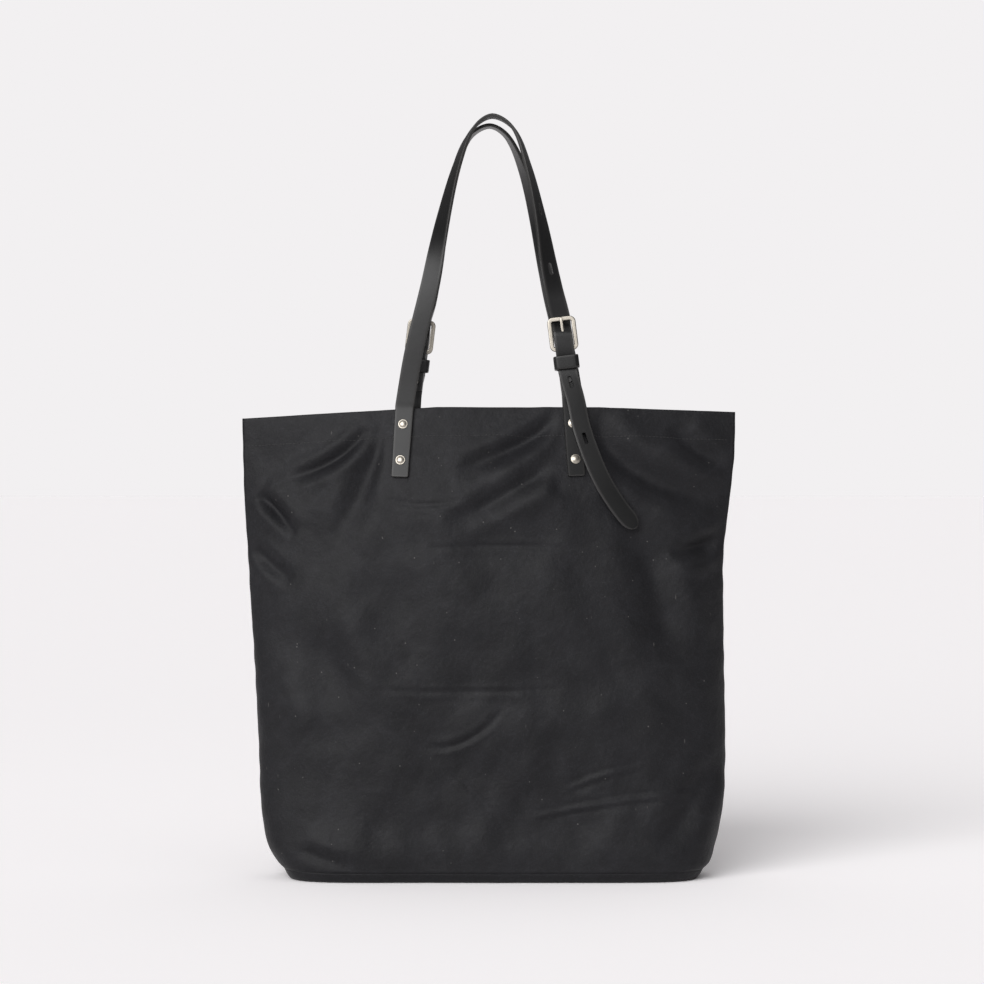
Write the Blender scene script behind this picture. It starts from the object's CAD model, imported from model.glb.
# %% [markdown]
# # A waxed canvas tote with two buckled leather handles
# The bag is made the way a bag maker makes it: two canvas walls and a base, hems turned in at
# the mouth, then leather, rivets and buckles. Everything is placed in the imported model's frame,
# in metres, with the front of the bag towards -Y.

# %% Load the frame
import math

import bmesh
import bpy
import numpy as np
from mathutils import Matrix, Vector


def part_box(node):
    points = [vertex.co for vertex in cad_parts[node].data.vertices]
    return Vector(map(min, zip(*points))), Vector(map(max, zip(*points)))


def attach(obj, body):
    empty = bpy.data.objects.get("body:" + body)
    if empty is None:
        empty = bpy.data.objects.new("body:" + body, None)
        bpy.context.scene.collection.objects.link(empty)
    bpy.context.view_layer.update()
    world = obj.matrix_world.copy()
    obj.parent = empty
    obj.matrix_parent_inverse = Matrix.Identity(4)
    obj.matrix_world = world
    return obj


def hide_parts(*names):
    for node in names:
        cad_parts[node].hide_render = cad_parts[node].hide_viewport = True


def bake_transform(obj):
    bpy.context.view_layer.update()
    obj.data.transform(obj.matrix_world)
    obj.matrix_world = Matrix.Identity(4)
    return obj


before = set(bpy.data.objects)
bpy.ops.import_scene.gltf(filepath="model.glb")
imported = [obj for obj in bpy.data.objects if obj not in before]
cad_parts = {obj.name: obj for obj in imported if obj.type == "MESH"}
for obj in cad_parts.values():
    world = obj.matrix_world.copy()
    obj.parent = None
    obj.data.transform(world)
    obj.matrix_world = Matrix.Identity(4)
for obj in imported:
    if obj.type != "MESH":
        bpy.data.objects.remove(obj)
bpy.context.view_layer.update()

MM = 0.001
SIDES = ("front", "back")

# %% [markdown]
# ## Stage, light and camera
# The set is a plain pale floor that runs to the horizon under an even, pale surround. The
# camera looks level from about half the height of bag and handles together, with a long lens,
# so the sides of the bag stay nearly upright.

# %% Camera
CAMERA_HEIGHT = 0.357
CAMERA_DISTANCE = 2.4
camera_data = bpy.data.cameras.new("camera")
camera_data.lens = 94.6
camera_data.sensor_width = 36.0
camera_data.clip_end = 500.0
camera = bpy.data.objects.new("camera", camera_data)
camera.location = (0.001, -CAMERA_DISTANCE, CAMERA_HEIGHT)
camera.rotation_euler = (math.radians(90), 0, 0)
bpy.context.collection.objects.link(camera)
bpy.context.scene.camera = camera
bpy.context.scene.view_settings.view_transform = "Standard"

# %% [markdown]
# ## How materials are written
# A material is maths on a few values: noise, a distance, a mark on the mesh. The class below
# lets that maths be written as plain sums and products. Each sum or product adds the node that
# does it, and a bench adds every other node, for a material, the surround or a node group.

# %% Socket arithmetic for materials
class Shade:
    """One value in a node tree. Arithmetic on it adds Math nodes."""

    def __init__(self, bench, socket):
        self.bench = bench
        self.socket = socket

    def math(self, operation, *values):
        slots = dict(enumerate(values))
        return self.bench.node("ShaderNodeMath", {"operation": operation}, slots)

    def __add__(self, other):
        return self.math("ADD", self, other)

    def __sub__(self, other):
        return self.math("SUBTRACT", self, other)

    def __rsub__(self, other):
        return self.math("SUBTRACT", other, self)

    def __mul__(self, other):
        return self.math("MULTIPLY", self, other)

    def __pow__(self, other):
        return self.math("POWER", self, other)

    def size(self):
        """The value without its sign."""
        return self.math("ABSOLUTE", self)

    __radd__ = __add__
    __rmul__ = __mul__

    def clamped(self, low, high):
        """Rises from 0 to 1 while this value goes from low to high."""
        return self.bench.node(
            "ShaderNodeMapRange", {"clamp": True}, {"Value": self, "From Min": low, "From Max": high}
        )


class Bench:
    """A material or the world being made, or a node group, which is its own tree."""

    def __init__(self, owner, tree=None):
        self.owner = owner
        if tree is None:
            owner.use_nodes = True
            tree = owner.node_tree
        self.tree = tree
        tree.nodes.clear()

    def node(self, kind, settings=None, slots=None, output=0):
        """Adds a node: its type, its settings, then the values or links of its sockets."""
        made = self.tree.nodes.new(kind)
        for name, value in (settings or {}).items():
            setattr(made, name, value)
        for name, value in (slots or {}).items():
            if isinstance(value, Shade):
                self.tree.links.new(value.socket, made.inputs[name])
            else:
                made.inputs[name].default_value = value
        return Shade(self, made.outputs[output]) if made.outputs else None

    def blend(self, amount, first, second):
        """Mixes two colours, each a tuple or a link."""
        first = (*first, 1) if isinstance(first, tuple) else first
        second = (*second, 1) if isinstance(second, tuple) else second
        return self.node("ShaderNodeMix", {"data_type": "RGBA"}, {0: amount, 6: first, 7: second}, 2)

    def noise(self, vector, scale, detail=3.0, rough=0.55, stretch=None):
        """Soft noise, from 0 to 1."""
        if stretch:
            vector = self.node("ShaderNodeMapping", {}, {"Vector": vector, "Scale": stretch})
        slots = {"Vector": vector, "Scale": scale, "Detail": detail, "Roughness": rough}
        return self.node("ShaderNodeTexNoise", {}, slots)

    def bump(self, height, distance, strength=1.0, under=None):
        """A Bump node, on top of another one where given."""
        slots = {"Height": height, "Distance": distance, "Strength": strength}
        if under:
            slots["Normal"] = under
        return self.node("ShaderNodeBump", {}, slots)

    def surface(self, **slots):
        """The closing shader and output."""
        names = {name.replace("_", " "): value for name, value in slots.items()}
        shader = self.node("ShaderNodeBsdfPrincipled", {}, names)
        self.node("ShaderNodeOutputMaterial", {}, {"Surface": shader})
        return self.owner


def material(name):
    """An empty material on a bench."""
    return Bench(bpy.data.materials.new(name))


print("a bench adds nodes; a shade adds maths")

# %% [markdown]
# ## Light
# One broad sun shines from the left of the camera, and the surround does the rest. What the bag
# reflects is not what the camera sees behind it: the surround glows around one direction in
# front and to the left, as a large soft box would, glows a little overhead, and is dim
# elsewhere. So black leather keeps a bright side and a dark side.

# %% Lights and surround
SURROUND = (0.888, 0.871, 0.880)
KEY_STRENGTH = 2.1
BOX_TOWARDS = Vector((-0.42, -0.90, 0.05)).normalized()
BOX_START, BOX_FULL = 0.70, 0.985
DIM, BRIGHT = 0.13, 2.3
ROOF = 0.45
ROOF_START = 0.2


def sun(name, azimuth, elevation, strength, spread):
    """A broad sun. Azimuth 0 shines along +Y and turns towards the left of the bag."""
    lamp = bpy.data.lights.new(name, "SUN")
    lamp.energy = strength
    lamp.angle = math.radians(spread)
    holder = bpy.data.objects.new(name, lamp)
    bpy.context.collection.objects.link(holder)
    side, rise = math.radians(azimuth), math.radians(elevation)
    flat = math.cos(rise)
    towards = Vector((-math.sin(side) * flat, -math.cos(side) * flat, math.sin(rise)))
    holder.rotation_mode = "QUATERNION"
    holder.rotation_quaternion = towards.to_track_quat("Z", "Y")
    return strength * math.sin(rise) / math.pi


floor_sun = sun("key", 26, 28, KEY_STRENGTH, 48)

world = bpy.data.worlds.new("surround")
bpy.context.scene.world = world
set_world = Bench(world)
towards = set_world.node("ShaderNodeTexCoord", {}, {}, 0)
dot = {"operation": "DOT_PRODUCT"}
to_box = set_world.node("ShaderNodeVectorMath", dot, {0: towards, 1: BOX_TOWARDS}, 1)
to_roof = set_world.node("ShaderNodeVectorMath", dot, {0: towards, 1: (0, 0, 1)}, 1)
box_glow = (BRIGHT - DIM) * to_box.clamped(BOX_START, BOX_FULL)
glow = DIM + box_glow + ROOF * to_roof.clamped(ROOF_START, 1.0)
lit = set_world.node("ShaderNodeBackground", {}, {"Color": (1.0, 0.985, 0.99, 1), "Strength": glow})
seen = set_world.node("ShaderNodeBackground", {}, {"Color": (*SURROUND, 1), "Strength": 1.0})
camera_ray = set_world.node("ShaderNodeLightPath", {}, {}, 0)
mixed = set_world.node("ShaderNodeMixShader", {}, {0: camera_ray, 1: lit, 2: seen})
set_world.node("ShaderNodeOutputWorld", {}, {"Surface": mixed})
print("key sun on a level surface:", round(floor_sun, 3))

# %% [markdown]
# ## Floor
# The floor's colour is worked out, not guessed: it is what turns the light that falls on a level
# surface into the surround's own brightness. The light from the surround is added up here over
# directions spread evenly on the upper half of the sky.

# %% Floor
SKY_SAMPLES = 4000
GOLDEN_ANGLE = 2.399963
FLOOR_REACH = 200.0


def sky_light():
    """Light from the surround on a level surface, as a share of an even white one."""
    total = 0.0
    for k in range(SKY_SAMPLES):
        rise = math.sqrt((k + 0.5) / SKY_SAMPLES)
        turn = k * GOLDEN_ANGLE
        flat = math.sqrt(1 - rise * rise)
        way = Vector((flat * math.cos(turn), flat * math.sin(turn), rise))
        box_share = min(max((way.dot(BOX_TOWARDS) - BOX_START) / (BOX_FULL - BOX_START), 0), 1)
        roof_share = min(max((rise - ROOF_START) / (1 - ROOF_START), 0), 1)
        total += DIM + (BRIGHT - DIM) * box_share + ROOF * roof_share
    return total / SKY_SAMPLES


floor_light = sky_light() + floor_sun
floor_bench = material("floor_paper")
here = floor_bench.node("ShaderNodeTexCoord", {}, {}, 3)
grain = floor_bench.noise(here, 9.0)
level = [value / floor_light for value in SURROUND]
pale = tuple(value * 1.002 for value in level)
deep = tuple(value * 0.998 for value in level)
reach = floor_bench.node("ShaderNodeVectorMath", {"operation": "LENGTH"}, {0: here}, 1)
near = (1 - reach.clamped(0.3, 2.2)) ** 2
near_paper = tuple(value * 1.035 for value in level)
paper = floor_bench.blend(near, floor_bench.blend(grain, deep, pale), near_paper)
floor_paper = floor_bench.surface(Base_Color=paper, Roughness=1.0, Specular_IOR_Level=0.0)
floor_mesh = bpy.data.meshes.new("floor")
corners = [(x * FLOOR_REACH, y * FLOOR_REACH, 0) for x, y in ((-1, -1), (1, -1), (1, 1), (-1, 1))]
floor_mesh.from_pydata(corners, [], [(0, 1, 2, 3)])
floor_mesh.materials.append(floor_paper)
floor = bpy.data.objects.new("floor", floor_mesh)
bpy.context.collection.objects.link(floor)
print("light on the floor:", round(floor_light, 3), "floor colour:", [round(v, 3) for v in level])

# %% [markdown]
# ## The shape of the standing bag
# A tote's wall is one rectangle of canvas as wide as half the way round the bag. Seen from
# above, the outline of the standing bag goes from a rounded rectangle at the base to a lens at
# the mouth, and its half perimeter stays the width of the cut. Six levels say how it changes.
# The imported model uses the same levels, so cloth, leather and rivets meet where they should.

# %% Levels of the bag
low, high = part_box("front_panel")
BAG_HEIGHT = high[2] / MM
MOUTH_HALF = high[0] / MM
# Each row: height, half width, half depth, and how far the outline is from round along x and y.
LEVELS = [
    (0.0, 184.0, 45.0, 0.20, 0.84),
    (25.0, 204.0, 46.0, 0.26, 0.90),
    (60.0, 212.5, 45.0, 0.36, 1.00),
    (BAG_HEIGHT * 0.5, 217.5, -low[1] / MM, 0.70, 1.30),
    (BAG_HEIGHT * 0.8, 222.5, 46.0, 0.90, 1.70),
    (BAG_HEIGHT, MOUTH_HALF, 26.5, 1.00, 2.00),
]


def smooth(rows, at):
    """Rows of values that start with their place; the values at a place, joined smoothly."""
    k = 0
    while k < len(rows) - 2 and at > rows[k + 1][0]:
        k += 1
    first, second = rows[k], rows[k + 1]
    before, after = rows[max(k - 1, 0)], rows[min(k + 2, len(rows) - 1)]
    span = second[0] - first[0]
    t = (at - first[0]) / span
    mixed = []
    for n in range(1, len(first)):
        m0 = (second[n] - before[n]) / (second[0] - before[0]) * span
        m1 = (after[n] - first[n]) / (after[0] - first[0]) * span
        value = (2 * t**3 - 3 * t**2 + 1) * first[n] + (t**3 - 2 * t**2 + t) * m0
        mixed.append(value + (-2 * t**3 + 3 * t**2) * second[n] + (t**3 - t**2) * m1)
    return mixed


def outside(x, height):
    """Distance of the wall from the bag's middle plane at one place, in millimetres."""
    half_width, half_depth, round_x, round_y = smooth(LEVELS, height)
    cosine = min(abs(x) / half_width, 1) ** (1 / round_x)
    return half_depth * math.sqrt(1 - cosine**2) ** round_y


def wall_slopes(x, height):
    """How fast the wall moves out along x and along z."""
    step = 2.0
    along_x = (outside(x + step, height) - outside(x - step, height)) / (2 * step)
    along_z = (outside(x, height + step) - outside(x, height - step)) / (2 * step)
    return along_x, along_z


def front_point(x, out, z):
    """A point in millimetres, with out measured towards the camera, as a vector in metres."""
    return Vector((x * MM, -out * MM, z * MM))


print("bag", round(BAG_HEIGHT), "mm high and", round(2 * MOUTH_HALF), "mm wide at the mouth")

# %% [markdown]
# ## Creases and drapes
# Waxed canvas holds every fold it has had. Three kinds are laid over the smooth shape. Drapes
# are the soft valleys that hang from the rivets and from the corners of the mouth. Storage
# creases are the thin, nearly straight marks of the folded bag. Crumple is the fine net of flat
# facets that the wax keeps. Each drape or crease is a curve on the wall, chosen by hand, with a
# width and a depth, and the wall moves in or out with its distance from that curve.

# %% Moving the wall in and out
def bow(points, count=28):
    """Points along a bow through a start, a middle and an end."""
    start, middle, end = (np.array(p, float) for p in points)
    t = np.linspace(0, 1, count)[:, None]
    pull = 2 * middle - (start + end) / 2
    return (1 - t) ** 2 * start + 2 * t * (1 - t) * pull + t**2 * end


def along_bow(x, z, points):
    """Signed distance of each place from the bow, and its share of the way along."""
    line = bow(points)
    steps = np.diff(line, axis=0)
    size = np.maximum((steps**2).sum(1), 1e-9)
    best = np.full(x.shape, 1e9)
    signed = np.zeros(x.shape)
    share = np.zeros(x.shape)
    for k, (start, step) in enumerate(zip(line[:-1], steps)):
        along = np.clip(((x - start[0]) * step[0] + (z - start[1]) * step[1]) / size[k], 0, 1)
        off_x = x - start[0] - along * step[0]
        off_z = z - start[1] - along * step[1]
        gap = np.hypot(off_x, off_z)
        closer = gap < best
        side = np.sign(step[0] * off_z - step[1] * off_x)
        signed = np.where(closer, gap * side, signed)
        share = np.where(closer, (k + along) / len(steps), share)
        best = np.where(closer, gap, best)
    return signed, share


def drape(x, z, points, width, depth, lean=0.0):
    """A valley along a bow, with low shoulders. lean makes one side steeper."""
    signed, share = along_bow(x, z, points)
    ends = np.sin(np.pi * np.clip(share, 0.001, 0.999)) ** 0.6
    q = signed / width
    profile = -np.exp(-q * q) * (1 - lean * np.tanh(q * 1.5)) + 0.42 * np.exp(-(np.abs(q) - 1.9) ** 2)
    return depth * ends * profile


def crumple(x, z, cell, seed):
    """A net of facets: distance to the edge between the two nearest of scattered points."""
    rng = np.random.default_rng(seed)
    count = int(0.56 * 0.56 / cell**2)
    spots = rng.uniform((-0.28, -0.04), (0.28, 0.50), (count, 2))
    spots[:, 1] *= 0.9
    lift = rng.uniform(-1, 1, count)
    flat_x, flat_z = x.ravel(), z.ravel()
    wob_x = flat_x + 0.25 * cell * np.sin(flat_z / cell * 2.1 + seed)
    wob_z = flat_z + 0.25 * cell * np.sin(flat_x / cell * 1.7 + 2 * seed)
    gaps = np.hypot(wob_x[:, None] - spots[:, 0], wob_z[:, None] - spots[:, 1])
    order = np.argsort(gaps, axis=1)[:, :2]
    near = np.take_along_axis(gaps, order, axis=1)
    edge = np.clip((near[:, 1] - near[:, 0]) / cell, 0, 1)
    tilt = lift[order[:, 0]] * edge
    return tilt.reshape(x.shape), np.exp(-((edge / 0.12) ** 2)).reshape(x.shape)


def swell(x, z, seed, count=36, short=0.03, long=0.13):
    """Soft unevenness: a sum of gentle waves in seeded directions, about 1 high."""
    rng = np.random.default_rng(seed)
    total = np.zeros(x.shape)
    for _ in range(count):
        wave = rng.uniform(short, long)
        turn = rng.uniform(0, math.pi)
        shift = rng.uniform(0, 2 * math.pi)
        total += wave * np.sin(2 * math.pi * (x * math.cos(turn) + z * math.sin(turn)) / wave + shift)
    return total / (long * math.sqrt(count / 2))


# Each row: three points (x, z) of the bow, then its width, depth and lean, in metres.
FRONT_DRAPES = [
    (((0.066, 0.428), (0.030, 0.402), (-0.030, 0.376)), 0.0075, 0.0028, 0.3),
    (((0.058, 0.380), (0.018, 0.356), (-0.040, 0.326)), 0.0085, 0.0026, 0.3),
    (((-0.090, 0.416), (-0.110, 0.375), (-0.142, 0.310)), 0.0110, 0.0026, 0.2),
    (((-0.112, 0.415), (-0.140, 0.388), (-0.186, 0.368)), 0.0060, 0.0026, 0.5),
    (((-0.214, 0.356), (-0.200, 0.343), (-0.178, 0.318)), 0.0060, 0.0030, 0.5),
    (((-0.218, 0.306), (-0.205, 0.293), (-0.182, 0.276)), 0.0070, 0.0024, 0.3),
    (((0.092, 0.426), (0.132, 0.380), (0.212, 0.350)), 0.0120, 0.0040, 0.2),
    (((0.128, 0.330), (0.150, 0.275), (0.160, 0.200)), 0.0170, 0.0030, 0.0),
    (((0.222, 0.318), (0.196, 0.306), (0.165, 0.300)), 0.0080, 0.0030, 0.2),
    (((0.170, 0.420), (0.190, 0.396), (0.222, 0.384)), 0.0090, 0.0022, 0.2),
    (((-0.060, 0.330), (-0.085, 0.250), (-0.075, 0.160)), 0.0200, 0.0012, 0.0),
    (((-0.190, 0.240), (-0.150, 0.200), (-0.140, 0.120)), 0.0200, 0.0016, 0.0),
    (((-0.175, 0.032), (-0.150, 0.022), (-0.120, 0.013)), 0.0060, 0.0018, 0.3),
    (((0.200, 0.110), (0.185, 0.070), (0.150, 0.030)), 0.0120, 0.0020, 0.2),
]
FRONT_CREASES = [
    (((-0.060, 0.305), (0.010, 0.308), (0.085, 0.304)), 0.0022, 0.0006, 0.2),
    (((-0.105, 0.177), (-0.020, 0.175), (0.066, 0.178)), 0.0020, 0.0006, 0.0),
    (((-0.058, 0.126), (-0.025, 0.130), (0.010, 0.158)), 0.0028, 0.0010, 0.4),
    (((-0.040, 0.106), (-0.018, 0.086), (0.010, 0.056)), 0.0024, 0.0006, 0.2),
    (((0.036, 0.060), (0.110, 0.074), (0.190, 0.082)), 0.0022, -0.0009, 0.0),
    (((0.064, 0.083), (0.100, 0.098), (0.138, 0.106)), 0.0022, -0.0007, 0.0),
    (((-0.100, 0.352), (-0.060, 0.345), (-0.020, 0.352)), 0.0024, 0.0006, 0.0),
]
BACK_DRAPES = [
    (((0.064, 0.428), (0.020, 0.396), (-0.024, 0.386)), 0.0085, 0.0026, 0.3),
    (((-0.086, 0.420), (-0.128, 0.374), (-0.196, 0.352)), 0.0110, 0.0032, 0.2),
    (((0.094, 0.424), (0.150, 0.392), (0.214, 0.372)), 0.0100, 0.0030, 0.3),
    (((-0.216, 0.330), (-0.196, 0.310), (-0.160, 0.296)), 0.0080, 0.0028, 0.2),
    (((0.218, 0.300), (0.196, 0.280), (0.170, 0.240)), 0.0100, 0.0026, 0.2),
    (((0.090, 0.330), (0.080, 0.240), (0.100, 0.150)), 0.0220, 0.0016, 0.0),
    (((-0.120, 0.300), (-0.140, 0.220), (-0.130, 0.130)), 0.0200, 0.0018, 0.0),
    (((0.180, 0.036), (0.150, 0.024), (0.115, 0.014)), 0.0070, 0.0018, 0.3),
]
BACK_CREASES = [
    (((-0.080, 0.306), (0.000, 0.303), (0.090, 0.307)), 0.0022, 0.0006, 0.2),
    (((-0.070, 0.176), (0.010, 0.179), (0.100, 0.175)), 0.0020, 0.0006, 0.0),
    (((0.030, 0.120), (0.070, 0.110), (0.110, 0.076)), 0.0026, 0.0009, 0.3),
]
FOLD_GAIN = 2.1
# Places that the straps press flat: middle along x and z, half width and half height.
FLAT_UNDER_LEATHER = [(-81.5, 402.0, 13.0, 40.0), (76.5, 402.0, 13.0, 40.0)]


def relief(x, z, drapes, creases, seed):
    """How far the wall moves out at each place, and how much its wax is rubbed there."""
    move = np.zeros(x.shape)
    for points, width, depth, lean in drapes + creases:
        move += FOLD_GAIN * drape(x, z, points, width, depth, lean)
    facets, lines = crumple(x, z, 0.050, seed)
    small, small_lines = crumple(x, z, 0.024, seed + 5)
    move += 0.0013 * facets + 0.0006 * small
    move += 0.0020 * swell(x, z, seed) * np.clip((0.43 - z) / 0.08, 0.2, 1)
    rub = 0.35 * lines + 0.25 * small_lines
    for points, width, depth, lean in creases:
        signed, share = along_bow(x, z, points)
        broken = 0.5 + 0.5 * np.sin(x * 310 + seed) * np.sin(z * 270 + x * 120)
        ends = np.sin(np.pi * np.clip(share, 0, 1))
        rub += np.exp(-((signed / 0.0022) ** 2)) * ends * 0.5 * broken
    for middle_x, middle_z, half_x, half_z in FLAT_UNDER_LEATHER:
        gap_x = np.maximum(np.abs(x / MM - middle_x) - half_x, 0)
        gap_z = np.maximum(np.abs(z / MM - middle_z) - half_z, 0)
        move *= 1 - np.exp(-((np.hypot(gap_x, gap_z) / 9.0) ** 2))
    return move, np.clip(rub, 0, 1)


print("front:", len(FRONT_DRAPES), "drapes;", "back:", len(BACK_DRAPES), "drapes")

# %% [markdown]
# ## The walls
# Each wall is modelled as the one sheet of canvas that it is. It starts at the base seam, goes
# up to the rim, turns over and comes down inside as the hem. The grid is built row by row, so
# its columns follow the warp and its UV map is the flat cut, in metres, which the weave uses.
# Solidify then gives it the thickness of the cloth.

# %% Building a wall
CLOTH = 1.1 * MM
CUT_WIDTH = 0.461
HEM = 28.0 * MM
TURN_IN = 0.65 * MM
ACROSS = 176
UP = 168

# The edges of the standing bag: height, half width to the left and to the right.
EDGES = [
    (0.0, 182.0, 186.0),
    (9.8, 191.9, 197.0),
    (15.4, 197.5, 202.8),
    (30.0, 206.2, 207.6),
    (43.0, 209.6, 211.0),
    (78.0, 213.8, 216.0),
    (118.0, 215.3, 217.8),
    (192.0, 219.0, 217.0),
    (266.0, 223.6, 216.0),
    (303.0, 225.5, 216.2),
    (359.0, 229.0, 222.5),
    (396.0, 230.2, 226.3),
    (BAG_HEIGHT, 231.2, 227.2),
]
SEAM_FOOT = 9.8
LEFT_DROOP = 0.0100
RIGHT_DROOP = 0.0040


def rim_height(x, turned):
    """The rim droops from the handles towards both seams."""
    x = -x if turned else x
    left = np.clip((-x - 0.05) / 0.18, 0, 1)
    right = np.clip((x - 0.10) / 0.13, 0, 1)
    return BAG_HEIGHT * MM - LEFT_DROOP * left - RIGHT_DROOP * right


def seam_height(x):
    """The base seam stands a little off the floor, more at the corners."""
    return 0.0090 + 0.0008 * np.clip((np.abs(x) - 0.05) / 0.15, 0, 1) ** 2


def wall_row(height, inset, turned):
    """One level of a wall from the left seam to the right: evenly spaced places in metres."""
    _, half_depth, round_x, round_y = smooth(LEVELS, height)
    left, right = smooth(EDGES, height)
    if turned:
        left, right = right, left
    angle = np.linspace(math.pi, 0, 1441)
    cosine, sine = np.cos(angle), np.maximum(np.sin(angle), 0)
    half = np.where(cosine > 0, right, left) - inset
    x = half * np.sign(cosine) * np.abs(cosine) ** round_x
    y = (half_depth - inset) * sine**round_y
    run = np.concatenate([[0], np.cumsum(np.hypot(np.diff(x), np.diff(y)))])
    even = np.linspace(0, run[-1], ACROSS + 1)
    return np.interp(even, run, x) * MM, np.interp(even, run, y) * MM


def normals_of(grid):
    """Outward directions of a grid of points, rows going up."""
    across = np.gradient(grid, axis=1)
    up = np.gradient(grid, axis=0)
    direction = np.cross(across, up)
    return direction / np.maximum(np.linalg.norm(direction, axis=2, keepdims=True), 1e-12)


def wall_surface(drapes, creases, seed, turned):
    """The wall's middle surface as a grid of points, with its rub marks."""
    rows = []
    for j in range(UP + 1):
        share = j / UP
        x, y = wall_row(SEAM_FOOT + (BAG_HEIGHT - SEAM_FOOT) * share, CLOTH / MM / 2, turned)
        z = seam_height(x) + share * (rim_height(x, turned) - seam_height(x))
        rows.append(np.stack([x, -y, z], axis=1))
    grid = np.array(rows)
    outward = normals_of(grid)
    move, rub = relief(grid[..., 0], grid[..., 2], drapes, creases, seed)
    side = np.minimum(np.arange(ACROSS + 1), ACROSS - np.arange(ACROSS + 1)) * CUT_WIDTH / ACROSS
    height = grid[..., 2]
    pucker = 0.0003 * np.sin(height / 0.0042) * np.sin(height / 0.031 + seed)
    seam = np.exp(-((side / 0.0022) ** 2))[None, :]
    move = move * (1 - np.exp(-((side / 0.010) ** 2)))[None, :]
    move = move - 0.0008 * seam * (1 - np.abs(outward[..., 1]))
    move = move + pucker * np.exp(-((side / 0.012) ** 2))[None, :]
    low_edge = np.clip(1 - (height - 0.012) / 0.02, 0, 1)
    move = move * (1 - 0.7 * low_edge)
    grid = grid + outward * move[..., None]
    clear = CLOTH / 2 * np.abs(outward[:, [0, -1], 1]).mean(axis=1)
    grid[..., 1] = np.minimum(grid[..., 1], -clear[:, None])
    return grid, rub


def grid_mesh(name, grid, uv, rub=None, flip=False):
    """A mesh from a grid of points, with its UV map and rub marks."""
    high, wide = grid.shape[:2]
    number = np.arange(high * wide).reshape(high, wide)
    faces = np.stack([number[:-1, :-1], number[:-1, 1:], number[1:, 1:], number[1:, :-1]], axis=2)
    faces = faces.reshape(-1, 4)
    if flip:
        faces = faces[:, ::-1]
    mesh = bpy.data.meshes.new(name)
    mesh.from_pydata(grid.reshape(-1, 3).tolist(), [], faces.tolist())
    layer = mesh.uv_layers.new(name="cloth")
    layer.data.foreach_set("uv", uv.reshape(-1, 2)[faces.ravel()].ravel())
    marks = mesh.attributes.new("rub", "FLOAT", "POINT")
    values = np.zeros(high * wide) if rub is None else rub.ravel()
    marks.data.foreach_set("value", values.astype(np.float32))
    mesh.shade_smooth()
    return mesh


def finished(name, mesh, surface, body, replaced=(), modifiers=(), turned=False):
    """Applies modifiers, turns the piece to the back where asked, and mounts it on its body."""
    holder = bpy.data.objects.new(name, mesh)
    bpy.context.collection.objects.link(holder)
    for kind, settings in modifiers:
        modifier = holder.modifiers.new(kind.lower(), kind)
        for key, value in settings.items():
            setattr(modifier, key, value)
    if modifiers:
        graph = bpy.context.evaluated_depsgraph_get()
        plain = bpy.data.meshes.new_from_object(holder.evaluated_get(graph))
        holder.modifiers.clear()
        holder.data = plain
    if turned:
        holder.data.transform(Matrix.Rotation(math.pi, 4, "Z"))
    holder.data.name = name
    if surface:
        holder.data.materials.clear()
        holder.data.materials.append(surface)
    if replaced:
        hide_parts(*replaced)
    if body:
        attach(holder, body)
    return holder


print("wall grid:", ACROSS, "by", UP, "cells of", CUT_WIDTH, "m of cloth")

# %% [markdown]
# ## Canvas
# The cloth is a close, dry-waxed cotton. Its threads are finer than half a millimetre, so the
# weave is only a fine bump on the cloth's own UV map. What the eye sees is the wax: soft
# patches that are a little greyer or glossier, paler lines where it was creased, and a few pale
# specks of lint.

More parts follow.
